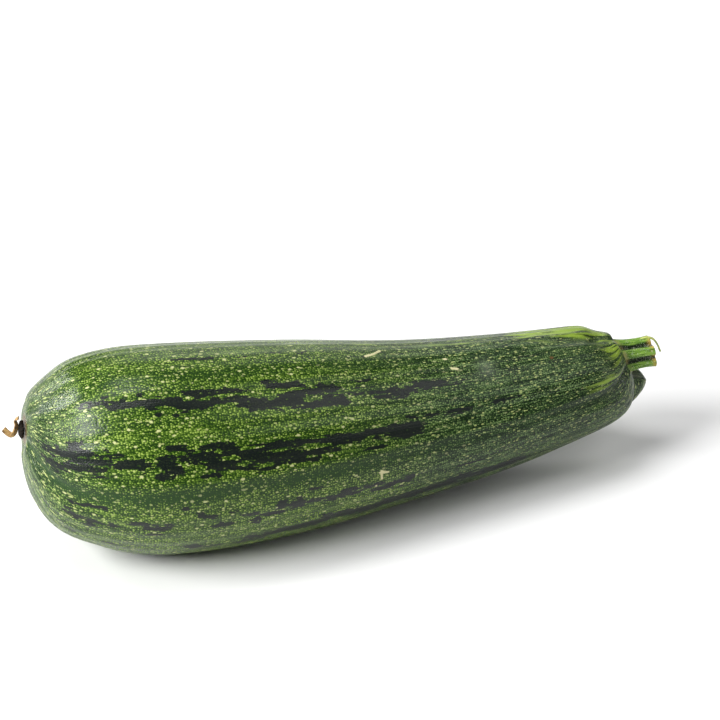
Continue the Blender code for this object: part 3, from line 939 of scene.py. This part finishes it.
def stem_material():
    """Pale green ridges with dark furrows, fibres and a dry rim at the cut."""
    material, tree, shader = new_material("stem", 0.50, 0.25)
    place = stored_vector(tree, "stem_place")
    fibre = noise(tree, place, STEM_FIBRE_SIZE, 4.0, 0.6)
    patch = noise(tree, place, STEM_PATCH_SIZE, 3.0)
    ridge = mix(tree, spread(tree, fibre, 0.32, 0.66), RIDGE_DARK, RIDGE_LIGHT)
    furrow = mix(tree, spread(tree, fibre, 0.35, 0.70), FURROW_DARK, FURROW_LIGHT)
    depth = plus(tree, number(tree, "valley"), times(tree, patch, 0.5))
    colour = mix(tree, spread(tree, depth, 0.50, 0.94), ridge, furrow)
    at_base = spread(tree, number(tree, "end"), 0.02, 0.20, 1.0, 0.0)
    corky = times(tree, at_base, spread(tree, patch, 0.42, 0.56))
    colour = mix(tree, times(tree, corky, 0.75), colour, STEM_CORK)
    at_rim = spread(tree, number(tree, "end"), 0.80, 0.99)
    dry = mix(tree, spread(tree, fibre, 0.35, 0.65), RIM_BROWN, RIM_TAN)
    rusty = times(tree, at_rim, spread(tree, patch, 0.44, 0.60))
    colour = mix(tree, times(tree, rusty, 0.85), colour, dry)
    inside = mix(tree, spread(tree, patch, 0.35, 0.65), CUT_GREEN, CUT_PALE)
    colour = mix(tree, number(tree, "cut"), colour, inside)
    tree.links.new(colour, shader.inputs["Base Color"])
    bump_with(tree, shader, fibre, STEM_RELIEF)
    return material


def object_place(tree):
    """Coordinates of the object itself, in metres."""
    return node(tree, "ShaderNodeTexCoord").outputs["Object"]


def bristle_material():
    """Short pale hairs, slightly uneven in tone."""
    material, tree, shader = new_material("bristle", 0.35)
    tone = noise(tree, object_place(tree), BRISTLE_TONE_SIZE, 2.0)
    colour = mix(tree, tone, BRISTLE_DULL, BRISTLE_BRIGHT)
    tree.links.new(colour, shader.inputs["Base Color"])
    return material


def strip_material():
    """Torn fibre of skin, yellow-green and drying at its tip."""
    material, tree, shader = new_material("torn_strip", 0.45)
    fibre = noise(tree, object_place(tree), STRIP_FIBRE_SIZE, 3.0)
    colour = mix(tree, spread(tree, fibre, 0.3, 0.7), STRIP_GREEN, STRIP_DRY)
    tree.links.new(colour, shader.inputs["Base Color"])
    bump_with(tree, shader, fibre, STRIP_RELIEF)
    return material


def scar_material():
    """Dry black cork with brown cracks."""
    material, tree, shader = new_material("scar", 0.80, 0.2)
    crack = noise(tree, object_place(tree), SCAR_CRACK_SIZE, 5.0, 0.65)
    colour = mix(tree, spread(tree, crack, 0.45, 0.75), SCAR_BLACK, SCAR_BROWN)
    tree.links.new(colour, shader.inputs["Base Color"])
    bump_with(tree, shader, crack, SCAR_RELIEF)
    return material


def petal_material():
    """Papery dried petal with veins along it, tan to golden brown."""
    material, tree, shader = new_material("petal", 0.62)
    shader.inputs["Sheen Weight"].default_value = 0.1
    place = object_place(tree)
    veins = noise(tree, place, PETAL_VEIN_SIZE, 4.0, 0.6)
    patch = noise(tree, place, PETAL_PATCH_SIZE, 3.0)
    veined = mix(tree, spread(tree, veins, 0.3, 0.7), PETAL_BROWN, PETAL_TAN)
    colour = mix(tree, spread(tree, patch, 0.5, 0.7), veined, PETAL_SPOT)
    tree.links.new(colour, shader.inputs["Base Color"])
    bump_with(tree, shader, veins, PETAL_RELIEF)
    return material


def build_fruit():
    fruit, along, angle, corner_angle = closed_shape(
        "skin_of_fruit", FRUIT_RINGS, FRUIT_SEGMENTS, fruit_skin
    )
    keep_skin_marks(fruit, along, angle, corner_angle)
    dress(fruit, skin_material(), "skin", "fruit")


def build_stem():
    stem, along, angle, _ = closed_shape("ridged_stem", STEM_RINGS, STEM_SEGMENTS, stem_skin)
    share, in_disc = stem_share(along)
    turn = np.radians(angle)
    place = [share * STEM_LENGTH, STEM_RADII[2] * np.cos(turn), STEM_RADII[2] * np.sin(turn)]
    keep_vector(stem, "stem_place", np.stack(place, axis=1))
    keep_number(stem, "valley", in_valley(angle))
    keep_number(stem, "end", share)
    on_cut = ease(*CUT_FACE, share) * (1.0 - ease(*CUT_RIM, in_disc))
    keep_number(stem, "cut", on_cut)
    dress(stem, stem_material(), "stem", "stem")


def bristle_mesh(name, draw):
    """Thin spikes on the side of the stem, most of them in its furrows."""
    points = []
    faces = []
    middle = stem_seat()
    for _ in range(BRISTLE_COUNT):
        along = STEM_DISC + (1.0 - 2.0 * STEM_DISC) * draw.uniform(*BRISTLE_STRETCH)
        angle = draw.choice(STEM_VALLEYS) + draw.normal(0.0, BRISTLE_SCATTER)
        root = np.stack(stem_skin(np.array([along]), np.array([angle])), axis=1)[0]
        out = root - middle
        out[0] = BRISTLE_LEAN * draw.uniform(*BRISTLE_LEANS)
        out[1:] /= np.linalg.norm(out[1:])
        out /= np.linalg.norm(out)
        side = np.cross(out, (1.0, 0.0, 0.0))
        side /= np.linalg.norm(side)
        first = len(points)
        for k in range(BRISTLE_SIDES):
            turn = 2.0 * np.pi * k / BRISTLE_SIDES
            across = np.cos(turn) * side + np.sin(turn) * np.cross(out, side)
            points.append(root + BRISTLE_RADIUS * across - out * BRISTLE_RADIUS)
        points.append(root + out * draw.uniform(*BRISTLE_LENGTHS))
        for k in range(BRISTLE_SIDES):
            faces.append((first + k, first + (k + 1) % BRISTLE_SIDES, first + BRISTLE_SIDES))
        faces.append(tuple(reversed(range(first, first + BRISTLE_SIDES))))
    mesh = bpy.data.meshes.new(name)
    mesh.from_pydata([tuple(p) for p in points], [], faces)
    return mesh


def build_bristles():
    mesh = bristle_mesh("stem_bristles", np.random.default_rng(RANDOM_SEED))
    bristles = bpy.data.objects.new("stem_bristles", mesh)
    bpy.context.scene.collection.objects.link(bristles)
    dress(bristles, bristle_material(), "stem")


def ribbon(name, points, base, width, thickness, twist=0.0):
    """Flat strip with round edges along a smooth curve, turning by the twist on its way."""
    curve = bpy.data.curves.new(name, "CURVE")
    curve.dimensions = "3D"
    curve.extrude = (width - thickness) / 2.0
    curve.bevel_depth = thickness / 2.0
    curve.bevel_resolution = 3
    curve.resolution_u = 16
    curve.use_fill_caps = True
    line = curve.splines.new("BEZIER")
    line.bezier_points.add(len(points) - 1)
    turns = np.pi / 2.0 + np.radians(twist) * np.linspace(0.0, 1.0, len(points))
    for knot, point, turn in zip(line.bezier_points, points, turns):
        knot.co = np.array(point) + base
        knot.handle_left_type = "AUTO"
        knot.handle_right_type = "AUTO"
        knot.tilt = turn
    guide = bpy.data.objects.new(name + "_guide", curve)
    bpy.context.scene.collection.objects.link(guide)
    bpy.context.view_layer.update()
    finished = guide.evaluated_get(bpy.context.evaluated_depsgraph_get())
    mesh = bpy.data.meshes.new_from_object(finished)
    bpy.data.objects.remove(guide)
    mesh.shade_smooth()
    strip = bpy.data.objects.new(name, mesh)
    bpy.context.scene.collection.objects.link(strip)
    return strip


def build_strip():
    strip = ribbon("torn_strip", STRIP_POINTS, stem_seat(), STRIP_WIDTH, STRIP_THICKNESS)
    dress(strip, strip_material(), "stem")


def build_blossom():
    scar = closed_shape("black_scar", SCAR_RINGS, SCAR_SEGMENTS, scar_skin)[0]
    dress(scar, scar_material(), "scar", "blossom_scar")
    size = CURL_WIDTH, CURL_THICKNESS, CURL_TWIST
    curl = ribbon("petal_curl", CURL_POINTS, blossom_seat(), *size)
    dress(curl, petal_material(), "petal", "dried_blossom")


def build_floor():
    bpy.ops.mesh.primitive_plane_add(size=FLOOR_SIZE, location=(0.0, 0.0, -FLOOR_DROP))
    floor = bpy.context.active_object
    floor.name = "floor"
    material, _, shader = new_material("floor", 0.9)
    shader.inputs["Base Color"].default_value = FLOOR_WHITE
    floor.data.materials.append(material)


def soft_light(name, place, diameter, power):
    """Round soft light that faces the fruit."""
    lamp = bpy.data.lights.new(name, "AREA")
    lamp.shape = "DISK"
    lamp.size = diameter
    lamp.energy = power
    item = bpy.data.objects.new(name, lamp)
    item.location = place
    facing = Vector(LIGHT_TARGET) - Vector(place)
    item.rotation_euler = facing.to_track_quat("-Z", "Y").to_euler()
    bpy.context.scene.collection.objects.link(item)


def build_lights():
    for lamp in LAMPS:
        soft_light(*lamp)
    world = bpy.data.worlds.new("studio")
    world.use_nodes = True
    background = world.node_tree.nodes["Background"]
    background.inputs["Color"].default_value = (1.0, 1.0, 1.0, 1.0)
    background.inputs["Strength"].default_value = WORLD_LIGHT
    bpy.context.scene.world = world
    bpy.context.scene.view_settings.view_transform = "Standard"


def build_camera():
    elevation = np.radians(CAMERA_ELEVATION)
    turn = np.radians(CAMERA_TURN)
    flat = np.cos(elevation)
    forward = Vector((flat * np.sin(turn), flat * np.cos(turn), -np.sin(elevation)))
    data = bpy.data.cameras.new("camera")
    data.sensor_width = SENSOR_WIDTH
    data.lens = SENSOR_WIDTH * CAMERA_DISTANCE / VIEW_WIDTH
    camera = bpy.data.objects.new("camera", data)
    camera.location = CAMERA_TARGET - forward * CAMERA_DISTANCE
    camera.rotation_euler = forward.to_track_quat("-Z", "Y").to_euler()
    bpy.context.scene.collection.objects.link(camera)
    bpy.context.scene.camera = camera


def main():
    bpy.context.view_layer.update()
    build_fruit()
    build_stem()
    build_bristles()
    build_strip()
    build_blossom()
    build_floor()
    build_lights()
    build_camera()


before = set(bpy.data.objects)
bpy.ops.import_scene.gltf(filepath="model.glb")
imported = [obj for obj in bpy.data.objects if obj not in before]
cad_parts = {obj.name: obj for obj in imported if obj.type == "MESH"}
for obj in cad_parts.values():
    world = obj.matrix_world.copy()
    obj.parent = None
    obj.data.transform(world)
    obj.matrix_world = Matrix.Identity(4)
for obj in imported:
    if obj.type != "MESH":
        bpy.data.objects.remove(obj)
main()
